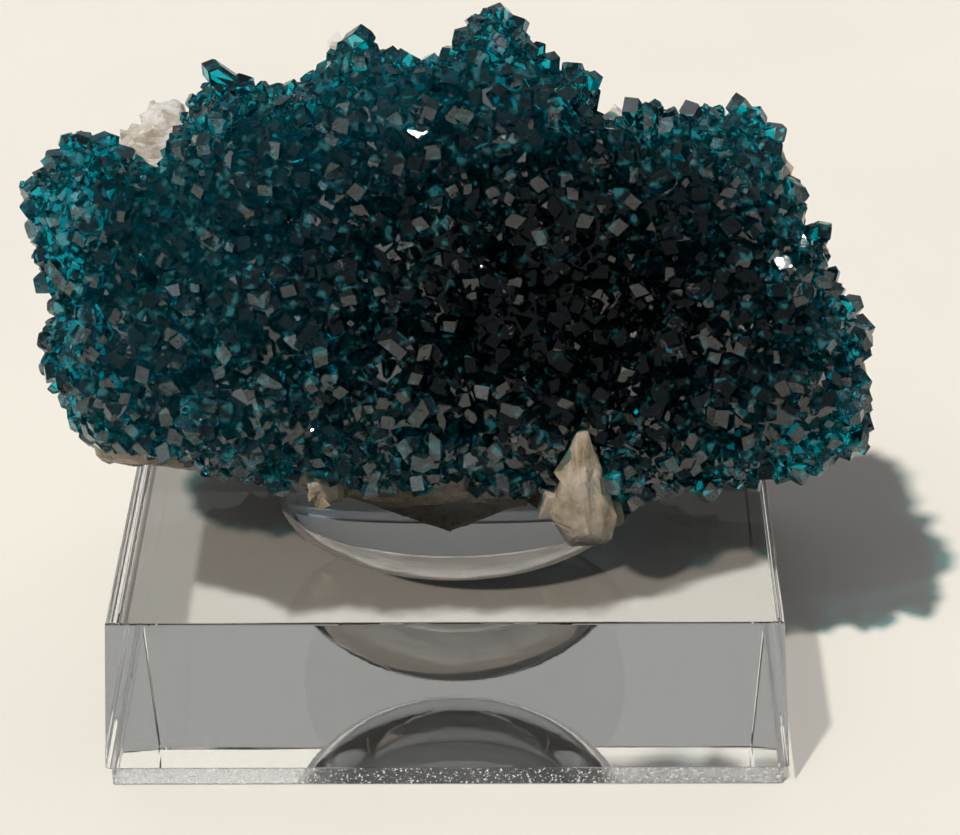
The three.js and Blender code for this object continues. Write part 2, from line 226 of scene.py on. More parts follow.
@dataclass(frozen=True)
class DioptaseFinish:
    """Glassy crystal faces over a deep teal body, with painted shade that makes it darkest in the
    middle of the plate and painted light that makes the rims and small spots lighter.
    """

    name: str = "dioptase"
    refraction: float = 1.67
    body: tuple = (0.0, 0.915, 0.927)
    density: float = 1300.0
    passed_light: tuple = (0.22, 0.50, 0.51)
    painted_shade_middle: tuple = (16 * MM, -10 * MM, 57 * MM)
    painted_shade_reach: tuple = (38 * MM, 34 * MM, 26 * MM)
    patch_strength: float = 1.6
    # How much the painted glow spots lighten the tint
    painted_glow_strength: float = 0.45
    # Half the distance from the middle of the painted shade, in reaches, and the tint at it: the
    # crystal's own teal, painted near black in the middle for shade and lighter towards the rims
    # for light that shines through thin crust
    painted_light_tints: tuple = (
        (0.54, (0.0005, 0.005, 0.006)), (0.74, (0.01, 0.12, 0.135)), (1.0, (0.12, 0.68, 0.78)),
    )
    clearness: tuple[float, float] = (0.985, 0.86)
    roughness: tuple[float, float] = (0.01, 0.07)
    grain_depth: float = 0.02 * MM

    def distance(self, sketch: NodeSketch) -> bpy.types.NodeSocket:
        """Measures how far a point is from the middle of the painted shade.

        Args:
            sketch: Where to draw.

        Returns:
            The distance, with 1 for the reach of the painted shade.
        """
        place = sketch.node("ShaderNodeTexCoord").outputs["Object"]
        shift = sketch.node("ShaderNodeVectorMath", {0: place, 1: self.painted_shade_middle},
                            operation="SUBTRACT").outputs["Vector"]
        spread = sketch.node("ShaderNodeVectorMath", {0: shift, 1: self.painted_shade_reach},
                             operation="DIVIDE").outputs["Vector"]
        return sketch.node("ShaderNodeVectorMath", {0: spread}, operation="LENGTH").outputs["Value"]

    def material(self) -> bpy.types.Material:
        """Draws the finish.

        Returns:
            The material.
        """
        made = bpy.data.materials.new(self.name)
        sketch = NodeSketch(made)
        # Painted shade and light: the teal is darkened towards the middle of the plate and
        # lightened towards the rims, with a ragged edge
        patches = sketch.noise(330, 4, 0.65)
        ragged = sketch.math("MULTIPLY_ADD", patches, self.patch_strength, self.distance(sketch))
        # Painted glow: small spots are made lighter and less clear, as if light shone through them
        painted_glow = sketch.ramp(sketch.noise(520, 1), [(0.58, 0.0), (0.68, 1.0)])
        lifted = sketch.math("MULTIPLY_ADD", painted_glow, self.painted_glow_strength, ragged)
        tint = sketch.ramp(sketch.math("MULTIPLY", lifted, 0.5), self.painted_light_tints)
        clear = sketch.ramp(painted_glow, zip((0.0, 1.0), self.clearness))
        gloss = sketch.ramp(sketch.noise(900, 2), zip((0.35, 0.75), self.roughness))
        rough_spots = sketch.ramp(sketch.noise(450, 2), [(0.50, 0.0), (0.62, 1.0)])
        grains = sketch.math("MULTIPLY", rough_spots, sketch.noise(2600, 2))
        surface = sketch.node("ShaderNodeBsdfPrincipled", {
            "Base Color": tint, "Roughness": gloss, "IOR": self.refraction,
            "Transmission Weight": clear, "Normal": sketch.bump(grains, self.grain_depth),
        })
        body = sketch.node("ShaderNodeVolumeAbsorption", {
            "Color": (*self.body, 1), "Density": self.density,
        })
        sketch.finish(sketch.passing(surface, self.passed_light), body)
        return made


@dataclass(frozen=True)
class CalciteFinish:
    """Pale broken calcite, brown and taupe near the foot and milky towards the top."""

    name: str = "calcite"
    low_brown: tuple = (0.22, 0.17, 0.10)
    taupe: tuple = (0.40, 0.33, 0.25)
    clean: tuple = (0.55, 0.50, 0.43)
    milky: tuple = (0.74, 0.72, 0.70)
    foot_level: float = 20 * MM
    top_level: float = 86 * MM
    level_shift: float = 0.22
    roughness: tuple[float, float] = (0.16, 0.55)
    grain_depth: float = 0.10 * MM
    refraction: float = 1.58
    milkiness: float = 0.35
    milk_depth: float = 1.2 * MM

    def material(self) -> bpy.types.Material:
        """Draws the finish.

        Returns:
            The material.
        """
        made = bpy.data.materials.new(self.name)
        sketch = NodeSketch(made)
        place = sketch.node("ShaderNodeTexCoord").outputs["Object"]
        level = sketch.node("ShaderNodeSeparateXYZ", {0: place}).outputs["Z"]
        height = sketch.node("ShaderNodeMapRange", {
            "Value": level, "From Min": self.foot_level, "From Max": self.top_level,
            "To Min": -self.level_shift, "To Max": self.level_shift,
        }).outputs["Result"]
        patches = sketch.math("ADD", height, sketch.noise(150, 5, 0.6))
        stops = [(0.26, self.low_brown), (0.40, self.taupe), (0.55, self.clean), (0.72, self.milky)]
        colour = sketch.ramp(patches, stops)
        gloss = sketch.ramp(sketch.noise(600, 4), zip((0.35, 0.65), self.roughness))
        grain = sketch.bump(sketch.noise(1800, 5, 0.65), self.grain_depth)
        surface = sketch.node("ShaderNodeBsdfPrincipled", {
            "Base Color": colour, "Roughness": gloss, "IOR": self.refraction,
            "Subsurface Weight": self.milkiness, "Subsurface Radius": (1.0, 0.85, 0.7),
            "Subsurface Scale": self.milk_depth, "Normal": grain,
        })
        sketch.finish(surface)
        return made


class Face(Enum):
    """The kinds of surface that the block has, with front, back and underside as one."""

    TOP = 0
    FOOT = 1
    SIDE = 2
    BOWL = 3
    FRONT = 4


@dataclass(frozen=True)
class AcrylicFinish:
    """Polished clear acrylic with faint mill marks, a hazy bowl and a chipped foot strip.

    It is one material, because light that enters a volume through one material has to leave it
    through the same one.
    """

    name: str = "acrylic"
    layer: str = "kind_of_face"
    refraction: float = 1.49
    body: tuple = (0.90, 0.96, 0.97)
    density: float = 4.0
    wear: float = 0.02 * MM
    upright_marks: tuple[float, float, float] = (300.0, 900.0, 25.0)
    level_marks: tuple[float, float, float] = (14.0, 14.0, 1500.0)
    level_strength: float = 0.4
    chip_strength: float = 3.0
    foot_roughness: float = 0.25
    foot_cool: tuple = (0.62, 0.66, 0.76)
    foot_pale: tuple = (0.95, 0.94, 0.92)
    bowl_clearness: float = 0.60
    passed_light: float = 0.97
    side_light: float = 0.5
    kept_light: tuple = (0.24, 0.22, 0.20)
    # The specimen's shade on the top: its middle, its level front edge and how that bends back
    shade_middle: float = -9 * MM
    shade_half: float = 21 * MM
    shade_front: float = -25.7 * MM
    shade_bend: float = 0.5
    shade_rag: float = 5 * MM
    shade_run: float = 30 * MM

    def is_kind(self, sketch: NodeSketch, face: Face) -> bpy.types.NodeSocket:
        """Returns 1 where the surface is of one kind and 0 elsewhere."""
        stored = sketch.node("ShaderNodeAttribute", attribute_name=self.layer)
        return sketch.math("COMPARE", stored.outputs["Fac"], float(face.value), 0.1)

    def streaks(self, sketch: NodeSketch, stretch: tuple) -> bpy.types.NodeSocket:
        """Draws noise that is drawn out along some axes.

        Args:
            sketch: Where to draw.
            stretch: Waves per metre along x, y and z.

        Returns:
            The noise.
        """
        place = sketch.node("ShaderNodeTexCoord").outputs["Object"]
        along = sketch.node("ShaderNodeVectorMath", {0: place, 1: stretch},
                            operation="MULTIPLY").outputs["Vector"]
        inputs = {"Vector": along, "Scale": 1.0, "Detail": 3.0}
        return sketch.node("ShaderNodeTexNoise", inputs).outputs["Fac"]

    def marks(self, sketch: NodeSketch) -> bpy.types.NodeSocket:
        """Draws the mill marks: upright on the sides, level on the front and back.

        Args:
            sketch: Where to draw.

        Returns:
            The height of the marks.
        """
        upright = sketch.math("MULTIPLY", self.streaks(sketch, self.upright_marks),
                              self.is_kind(sketch, Face.SIDE))
        front = sketch.math("MULTIPLY", self.is_kind(sketch, Face.FRONT), self.level_strength)
        level = sketch.math("MULTIPLY", self.streaks(sketch, self.level_marks), front)
        foot = sketch.math("MULTIPLY", self.is_kind(sketch, Face.FOOT), self.chip_strength)
        chips = sketch.math("MULTIPLY", sketch.noise(900, 3, 0.6), foot)
        return sketch.math("ADD", sketch.math("ADD", upright, level), chips)

    def shade(self, sketch: NodeSketch) -> bpy.types.NodeSocket:
        """Draws how much of the lamps' light passes each part of the surface.

        A lamp's shadow rays don't bend in the block as its light does, so the part of the top
        whose light the specimen blocks is given here.

        Args:
            sketch: Where to draw.

        Returns:
            The share of light that passes, as a colour.
        """
        place = sketch.node("ShaderNodeTexCoord").outputs["Object"]
        split = sketch.node("ShaderNodeSeparateXYZ", {0: place})
        across = sketch.math("ADD", split.outputs["X"], -self.shade_middle)
        aside = sketch.math("ABSOLUTE", across)
        past = sketch.math("MAXIMUM", sketch.math("SUBTRACT", aside, self.shade_half), 0.0)
        bend = sketch.math("MULTIPLY", past, self.shade_bend)
        back = sketch.math("ADD", split.outputs["Y"], -self.shade_front)
        depth = sketch.math("SUBTRACT", back, bend)
        ragged = sketch.math("MULTIPLY_ADD", sketch.noise(160, 3), self.shade_rag, depth)
        share = sketch.math("MULTIPLY_ADD", ragged, 1 / self.shade_run, 0.15)
        on_top = sketch.ramp(share, [(0.20, self.passed_light), (0.27, self.kept_light)])
        edge = sketch.math("ADD", self.is_kind(sketch, Face.SIDE), self.is_kind(sketch, Face.FOOT))
        elsewhere = sketch.ramp(edge, [(0.0, self.passed_light), (1.0, self.side_light)])
        return sketch.node("ShaderNodeMixRGB", {
            "Fac": self.is_kind(sketch, Face.TOP), "Color1": elsewhere, "Color2": on_top,
        }).outputs["Color"]

    def material(self) -> bpy.types.Material:
        """Draws the finish.

        Returns:
            The material.
        """
        made = bpy.data.materials.new(self.name)
        sketch = NodeSketch(made)
        foot = self.is_kind(sketch, Face.FOOT)
        flakes = sketch.noise(2600, 4, 0.7)
        white = sketch.math("MULTIPLY", foot, sketch.ramp(flakes, [(0.57, 0.0), (0.63, 1.0)]))
        haze = sketch.math("MULTIPLY", self.is_kind(sketch, Face.BOWL), 1 - self.bowl_clearness)
        clear = sketch.math("SUBTRACT", sketch.math("SUBTRACT", 1.0, white), haze)
        foot_tint = sketch.ramp(flakes, [(0.5, self.foot_cool), (0.62, self.foot_pale)])
        colour = sketch.node("ShaderNodeMixRGB", {
            "Fac": foot, "Color1": (1, 1, 1, 1), "Color2": foot_tint,
        }).outputs["Color"]
        polish = sketch.ramp(sketch.noise(300, 3), [(0.4, 0.0), (0.8, 0.03)])
        gloss = sketch.math("MULTIPLY_ADD", foot, self.foot_roughness, polish)
        surface = sketch.node("ShaderNodeBsdfPrincipled", {
            "Base Color": colour, "Roughness": gloss, "IOR": self.refraction,
            "Transmission Weight": clear, "Normal": sketch.bump(self.marks(sketch), self.wear),
        })
        body = sketch.node("ShaderNodeVolumeAbsorption", {
            "Color": (*self.body, 1), "Density": self.density,
        })
        sketch.finish(sketch.passing(surface, self.shade(sketch)), body)
        return made


@dataclass(frozen=True)
class PaperFinish:
    """Plain pale paper for the floor."""

    name: str = "pale_paper"
    colour: tuple = (0.86, 0.83, 0.77)
    lightest: float = 1.04
    roughness: float = 0.9
    shine: float = 0.2

    def material(self) -> bpy.types.Material:
        """Draws the finish.

        Returns:
            The material.
        """
        made = bpy.data.materials.new(self.name)
        sketch = NodeSketch(made)
        lighter = tuple(min(1.0, self.lightest * channel) for channel in self.colour)
        colour = sketch.ramp(sketch.noise(12, 2), [(0.3, self.colour), (0.7, lighter)])
        surface = sketch.node("ShaderNodeBsdfPrincipled", {
            "Base Color": colour, "Roughness": self.roughness, "Specular IOR Level": self.shine,
        })
        sketch.finish(surface)
        return made


def cad_copy(node: str) -> bpy.types.Mesh:
    """Copies the mesh of a CAD node with its shared corners merged.

    Args:
        node: The CAD node's name.

    Returns:
        A new mesh.
    """
    copy = frame["nodes"][node].data.copy()
    copy.materials.clear()
    bm = bmesh.new()
    bm.from_mesh(copy)
    bmesh.ops.remove_doubles(bm, verts=bm.verts, dist=0.001 * MM)
    bm.to_mesh(copy)
    bm.free()
    return copy


def evaluated(mesh: bpy.types.Mesh, add: Callable[[bpy.types.Object], None]) -> bpy.types.Mesh:
    """Applies modifiers to a mesh.

    Args:
        mesh: The mesh to start from.
        add: Adds the modifiers to the object that it is given.

    Returns:
        The mesh after the modifiers.
    """
    holder = bpy.data.objects.new("holder", mesh)
    bpy.context.scene.collection.objects.link(holder)
    add(holder)
    graph = bpy.context.evaluated_depsgraph_get()
    result = bpy.data.meshes.new_from_object(holder.evaluated_get(graph), depsgraph=graph)
    bpy.data.objects.remove(holder)
    return result


def hull_of_planes(planes: list[tuple[Vector, float]]) -> bpy.types.Mesh:
    """Builds the convex solid inside a set of planes.

    Args:
        planes: Pairs of an outward direction and a distance from the middle.

    Returns:
        The solid, with one face for each plane that shows.
    """
    nearly_parallel, slack = 1e-6, 1e-7
    normals = np.array([direction.normalized()[:] for direction, _ in planes])
    reaches = np.array([reach for _, reach in planes])
    corners = []
    for trio in combinations(range(len(planes)), 3):
        three = normals[list(trio)]
        if abs(np.linalg.det(three)) < nearly_parallel:
            continue
        point = np.linalg.solve(three, reaches[list(trio)])
        if np.all(normals @ point <= reaches + slack):
            corners.append(point)
    bm = bmesh.new()
    for corner in corners:
        bm.verts.new(corner)
    bmesh.ops.remove_doubles(bm, verts=bm.verts, dist=SAME_CORNER)
    hull = bmesh.ops.convex_hull(bm, input=bm.verts)
    spare = hull["geom_unused"] + hull["geom_interior"]
    bmesh.ops.delete(bm, geom=[item for item in spare if isinstance(item, bmesh.types.BMVert)])
    bmesh.ops.dissolve_limit(bm, angle_limit=0.01, verts=bm.verts, edges=bm.edges)
    bmesh.ops.recalc_face_normals(bm, faces=bm.faces)
    mesh = bpy.data.meshes.new("crystal")
    bm.to_mesh(mesh)
    bm.free()
    return mesh


@dataclass
class Seed:
    """Where one small crystal grows, which way and how big."""

    place: Vector
    turn: Quaternion
    size: Vector
    kind: int


# What each seed stores: the layer's name, its type and the socket that it feeds
SEED_LAYERS = (
    ("turn", "QUATERNION", "Rotation"),
    ("size", "FLOAT_VECTOR", "Scale"),
    ("kind", "INT", "Instance Index"),
)


def seed_points(seeds: list[Seed]) -> bpy.types.Mesh:
    """Stores the seeds as loose points with one layer for each of their values.

    Args:
        seeds: The crystals' places.

    Returns:
        The points.
    """
    points = bpy.data.meshes.new("seeds")
    points.from_pydata([seed.place for seed in seeds], [], [])
    # Each layer is filled before the next is added, because adding one moves the others
    turns = points.attributes.new("turn", "QUATERNION", "POINT").data
    for index, seed in enumerate(seeds):
        turns[index].value = seed.turn
    sizes = points.attributes.new("size", "FLOAT_VECTOR", "POINT").data
    for index, seed in enumerate(seeds):
        sizes[index].vector = seed.size
    picks = points.attributes.new("kind", "INT", "POINT").data
    for index, seed in enumerate(seeds):
        picks[index].value = seed.kind
    return points


def joining_nodes(shelf: bpy.types.Collection, core: bpy.types.Object) -> bpy.types.NodeTree:
    """Draws the geometry nodes that set a shape on each point and join them all to a core.

    Args:
        shelf: The shapes that the points choose from.
        core: The solid that they are joined to.

    Returns:
        The node tree.
    """
    tree = bpy.data.node_groups.new("fuse", "GeometryNodeTree")
    for way in ("INPUT", "OUTPUT"):
        tree.interface.new_socket("Geometry", in_out=way, socket_type="NodeSocketGeometry")
    start = tree.nodes.new("NodeGroupInput")
    end = tree.nodes.new("NodeGroupOutput")
    grow = tree.nodes.new("GeometryNodeInstanceOnPoints")
    grow.inputs["Pick Instance"].default_value = True
    kinds = tree.nodes.new("GeometryNodeCollectionInfo")
    kinds.inputs["Collection"].default_value = shelf
    kinds.inputs["Separate Children"].default_value = True
    kinds.inputs["Reset Children"].default_value = True
    base = tree.nodes.new("GeometryNodeObjectInfo")
    base.inputs["Object"].default_value = core
    join = tree.nodes.new("GeometryNodeMeshBoolean")
    join.operation = "UNION"
    join.solver = "MANIFOLD"
    tree.links.new(start.outputs[0], grow.inputs["Points"])
    tree.links.new(kinds.outputs[0], grow.inputs["Instance"])
    for name, kind, target in SEED_LAYERS:
        stored = tree.nodes.new("GeometryNodeInputNamedAttribute")
        stored.data_type = kind
        stored.inputs["Name"].default_value = name
        tree.links.new(stored.outputs["Attribute"], grow.inputs[target])
    tree.links.new(grow.outputs[0], join.inputs["Mesh 2"])
    tree.links.new(base.outputs["Geometry"], join.inputs["Mesh 2"])
    tree.links.new(join.outputs["Mesh"], end.inputs[0])
    return tree


def fused(core: bpy.types.Mesh, seeds: list[Seed], kinds: list[bpy.types.Mesh]) -> bpy.types.Mesh:
    """Joins many small crystals and a core into one closed solid.

    Args:
        core: The solid that the crystals stand on.
        seeds: The crystals' places.
        kinds: The shapes that the seeds choose from.

    Returns:
        The largest body of the join.
    """
    shelf = bpy.data.collections.new("crystal_kinds")
    for index, kind in enumerate(kinds):
        shelf.objects.link(bpy.data.objects.new(f"kind{index:03d}", kind))
    bpy.context.scene.collection.children.link(shelf)
    core_holder = bpy.data.objects.new("core", core)
    tree = joining_nodes(shelf, core_holder)

    def add(holder: bpy.types.Object) -> None:
        """Adds the joining nodes to an object."""
        holder.modifiers.new("fuse", "NODES").node_group = tree

    result = evaluated(seed_points(seeds), add)
    for item in list(shelf.objects):
        bpy.data.objects.remove(item)
    bpy.data.collections.remove(shelf)
    bpy.data.objects.remove(core_holder)
    for name, _, _ in SEED_LAYERS:
        if name in result.attributes:
            result.attributes.remove(result.attributes[name])
    return largest_body(result)


def largest_body(mesh: bpy.types.Mesh) -> bpy.types.Mesh:
    """Keeps only the largest connected body of a mesh, by its number of corners.

    Args:
        mesh: The mesh, which is changed.

    Returns:
        The same mesh.
    """
    bm = bmesh.new()
    bm.from_mesh(mesh)
    bodies = []
    left = set(bm.verts)
    while left:
        first = left.pop()
        body, edge = {first}, [first]
        while edge:
            for link in edge.pop().link_edges:
                for corner in link.verts:
                    if corner in left:
                        left.discard(corner)
                        body.add(corner)
                        edge.append(corner)
        bodies.append(body)
    bodies.sort(key=len)
    spare = [corner for body in bodies[:-1] for corner in body]
    bmesh.ops.delete(bm, geom=spare, context="VERTS")
    bmesh.ops.triangulate(bm, faces=bm.faces)
    bm.to_mesh(mesh)
    bm.free()
    return mesh


@dataclass
class Facet:
    """One triangle that crystals can stand on."""

    corners: tuple[Vector, Vector, Vector]
    normal: Vector
    area: float


def facets_of(mesh: bpy.types.Mesh, fits: Callable[[Vector, Vector], bool]) -> list[Facet]:
    """Lists the triangles of a mesh that pass a test.

    Args:
        mesh: The mesh.
        fits: Takes a triangle's middle and normal, and says whether it is kept.

    Returns:
        The triangles.
    """
    mesh.calc_loop_triangles()
    found = []
    for triangle in mesh.loop_triangles:
        if fits(triangle.center, triangle.normal):
            corners = tuple(mesh.vertices[i].co.copy() for i in triangle.vertices)
            found.append(Facet(corners, triangle.normal.copy(), triangle.area))
    return found


class SpacedPoints:
    """Remembers placed points and their radii, and says where there is room for more."""

    def __init__(self, cell: float) -> None:
        """Starts with no points.

        Args:
            cell: The size of a search cell, at least the largest distance that is asked for.
        """
        self.cell = cell
        self.cells: dict[tuple[int, int, int], list[tuple[Vector, float]]] = {}

    def _key(self, place: Vector) -> tuple[int, int, int]:
        """Returns the cell that a place is in."""
        return tuple(int(math.floor(x / self.cell)) for x in place)

    def add(self, place: Vector, radius: float, spacing: float) -> bool:
        """Adds a point if it is far enough from the others.

        Args:
            place: Where it is.
            radius: Its radius.
            spacing: The least distance to another point, as a share of both radii together.

        Returns:
            True if it was added.
        """
        x, y, z = self._key(place)
        for dx in (-1, 0, 1):
            for dy in (-1, 0, 1):
                for dz in (-1, 0, 1):
                    for other, size in self.cells.get((x + dx, y + dy, z + dz), ()):
                        if (other - place).length < spacing * (radius + size):
                            return False
        self.cells.setdefault((x, y, z), []).append((place, radius))
        return True


def on_plate(along: float, up: float, out: float) -> Vector:
    """Returns a point given in millimetres along, up and out of the plate."""
    return PLATE_FOOT + (Vector((along, 0, 0)) + up * PLATE_UP + out * PLATE_OUT) * MM


def turn_towards(direction: Vector, spin: float) -> Quaternion:
    """Returns the turn that takes +Z to a direction, after a spin about +Z."""
    return UP.rotation_difference(direction) @ Quaternion(UP, spin)


def strayed(direction: Vector, spread: float, rng: random.Random) -> Vector:
    """Turns a direction aside at random.

    Args:
        direction: The direction.
        spread: How far it strays.
        rng: The random source.

    Returns:
        The new direction, of length 1.
    """
    shift = Vector((rng.gauss(0, 1), rng.gauss(0, 1), rng.gauss(0, 1))) * spread
    return (direction + shift).normalized()


def shown(mesh: bpy.types.Mesh, name: str, node: str) -> bpy.types.Object:
    """Adds a finished mesh to the scene in place of a CAD node.

    Args:
        mesh: The mesh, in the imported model's frame.
        name: The piece's name.
        node: The CAD node that it stands for.

    Returns:
        The piece.
    """
    piece = bpy.data.objects.new(name, mesh)
    bpy.context.scene.collection.objects.link(piece)
    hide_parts(node)
    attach(piece, "root")
    LOG.info("%s: %d triangles", name, sum(len(p.vertices) - 2 for p in mesh.polygons))
    return piece


@dataclass
class DioptaseCrust:
    """The druse: small crystals grown together over the lobed crust."""

    kinds: int = 28
    tries: int = 26000
    radius_range: tuple[float, float] = (0.45 * MM, 1.75 * MM)
    radius_power: float = 1.9
    spacing: float = 0.74
    rise_range: tuple[float, float] = (0.7, 1.9)
    root: float = 0.9
    tilt: float = 0.42
    lean_to_plate: float = 0.35
    back_limit: float = -0.25
    breadth: tuple[float, float] = (0.8, 1.0)
    length: tuple[float, float] = (0.85, 1.1)
    # How far a crystal may be sunk to stay in the box, in radii
    sinks: tuple = (0.0, 0.5, 1.0)
    rhomb_slope: float = 1.233
    column_reach: tuple[float, float] = (0.74, 0.98)
    rhomb_reach: tuple[float, float] = (-0.16, 0.0)
    uneven: float = 3.0
    cut_tip_share: float = 0.35
    cut_tip_lean: float = 0.3
    cut_tip_reach: float = -0.3
    seed: int = 11

    def habit(self, rng: random.Random, rise: float) -> bpy.types.Mesh:
        """Builds one crystal of radius 1: a six-sided column with three rhomb faces on top.

        Args:
            rng: The random source.
            rise: How far its top stands above the ground.

        Returns:
            The crystal, with its top at the middle and its root below.
        """
        planes = []
        for side in range(6):
            angle = math.radians(60 * side + 30 + rng.uniform(-self.uneven, self.uneven))
            out = Vector((math.cos(angle), math.sin(angle), 0))
            planes.append((out, rng.uniform(*self.column_reach)))
        for rhomb in range(3):
            angle = math.radians(120 * rhomb + rng.uniform(-self.uneven, self.uneven))
            slope = self.rhomb_slope
            out = Vector((slope * math.cos(angle), slope * math.sin(angle), 1))
            planes.append((out, rng.uniform(*self.rhomb_reach)))
        if rng.random() < self.cut_tip_share:
            lean = self.cut_tip_lean
            out = Vector((rng.uniform(-lean, lean), rng.uniform(-lean, lean), 1))
            planes.append((out, self.cut_tip_reach))
        planes.append((Vector((0, 0, -1)), rise + self.root))
        return hull_of_planes(planes)

    def stays_inside(self, seed: Seed, kind: bpy.types.Mesh) -> bool:
        """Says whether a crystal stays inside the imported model's box.

        Args:
            seed: Where the crystal grows.
            kind: Its shape.

        Returns:
            True if every corner is inside.
        """
        low, high = (Vector(corner) for corner in CAD_BOX)
        for corner in kind.vertices:
            tip = seed.place + seed.turn @ (corner.co * seed.size)
            if any(tip[i] < low[i] or tip[i] > high[i] for i in range(3)):
                return False
        return True

    def seeds(self, facets: list[Facet], kinds: list[bpy.types.Mesh],
              rises: list[float], rng: random.Random) -> list[Seed]:
        """Strews crystals over the crust, the largest first.

        Args:
            facets: The triangles that they may stand on.
            kinds: The crystals' shapes.
            rises: How far each kind of crystal stands out, as a share of its radius.
            rng: The random source.

        Returns:
            The seeds.
        """
        low, high = self.radius_range
        radii = [low + (high - low) * rng.random() ** self.radius_power for _ in range(self.tries)]
        radii.sort(reverse=True)
        chosen = rng.choices(facets, [facet.area for facet in facets], k=self.tries)
        room = SpacedPoints(2 * high)
        found = []
        for radius, facet in zip(radii, chosen):
            a, b = rng.random(), rng.random()
            if a + b > 1:
                a, b = 1 - a, 1 - b
            first, second, third = facet.corners
            place = first + a * (second - first) + b * (third - first)
            if not room.add(place, radius, self.spacing):
                continue
            direction = strayed(facet.normal + self.lean_to_plate * PLATE_OUT, self.tilt, rng)
            kind = rng.randrange(self.kinds)
            rise = radius * rises[kind]
            size = Vector((
                radius, radius * rng.uniform(*self.breadth), radius * rng.uniform(*self.length),
            ))
            turn = turn_towards(direction, rng.uniform(0, math.tau))
            for sunk in self.sinks:
                seed = Seed(place + direction * (rise - sunk * radius), turn, size, kind)
                if self.stays_inside(seed, kinds[kind]):
                    found.append(seed)
                    break
        return found

    def build(self) -> bpy.types.Object:
        """Builds and dresses the crust.

        Returns:
            The piece.
        """
        rng = random.Random(self.seed)
        core = cad_copy("dioptase_crust")
        facets = facets_of(core, lambda middle, normal: normal.dot(PLATE_OUT) > self.back_limit)
        rises = [rng.uniform(*self.rise_range) for _ in range(self.kinds)]
        kinds = [self.habit(rng, rise) for rise in rises]
        seeds = self.seeds(facets, kinds, rises, rng)
        LOG.info("crust: %d small crystals", len(seeds))
        mesh = fused(core, seeds, kinds)
        mesh.materials.clear()
        mesh.materials.append(DioptaseFinish().material())
        return shown(mesh, "dioptase_druse", "dioptase_crust")


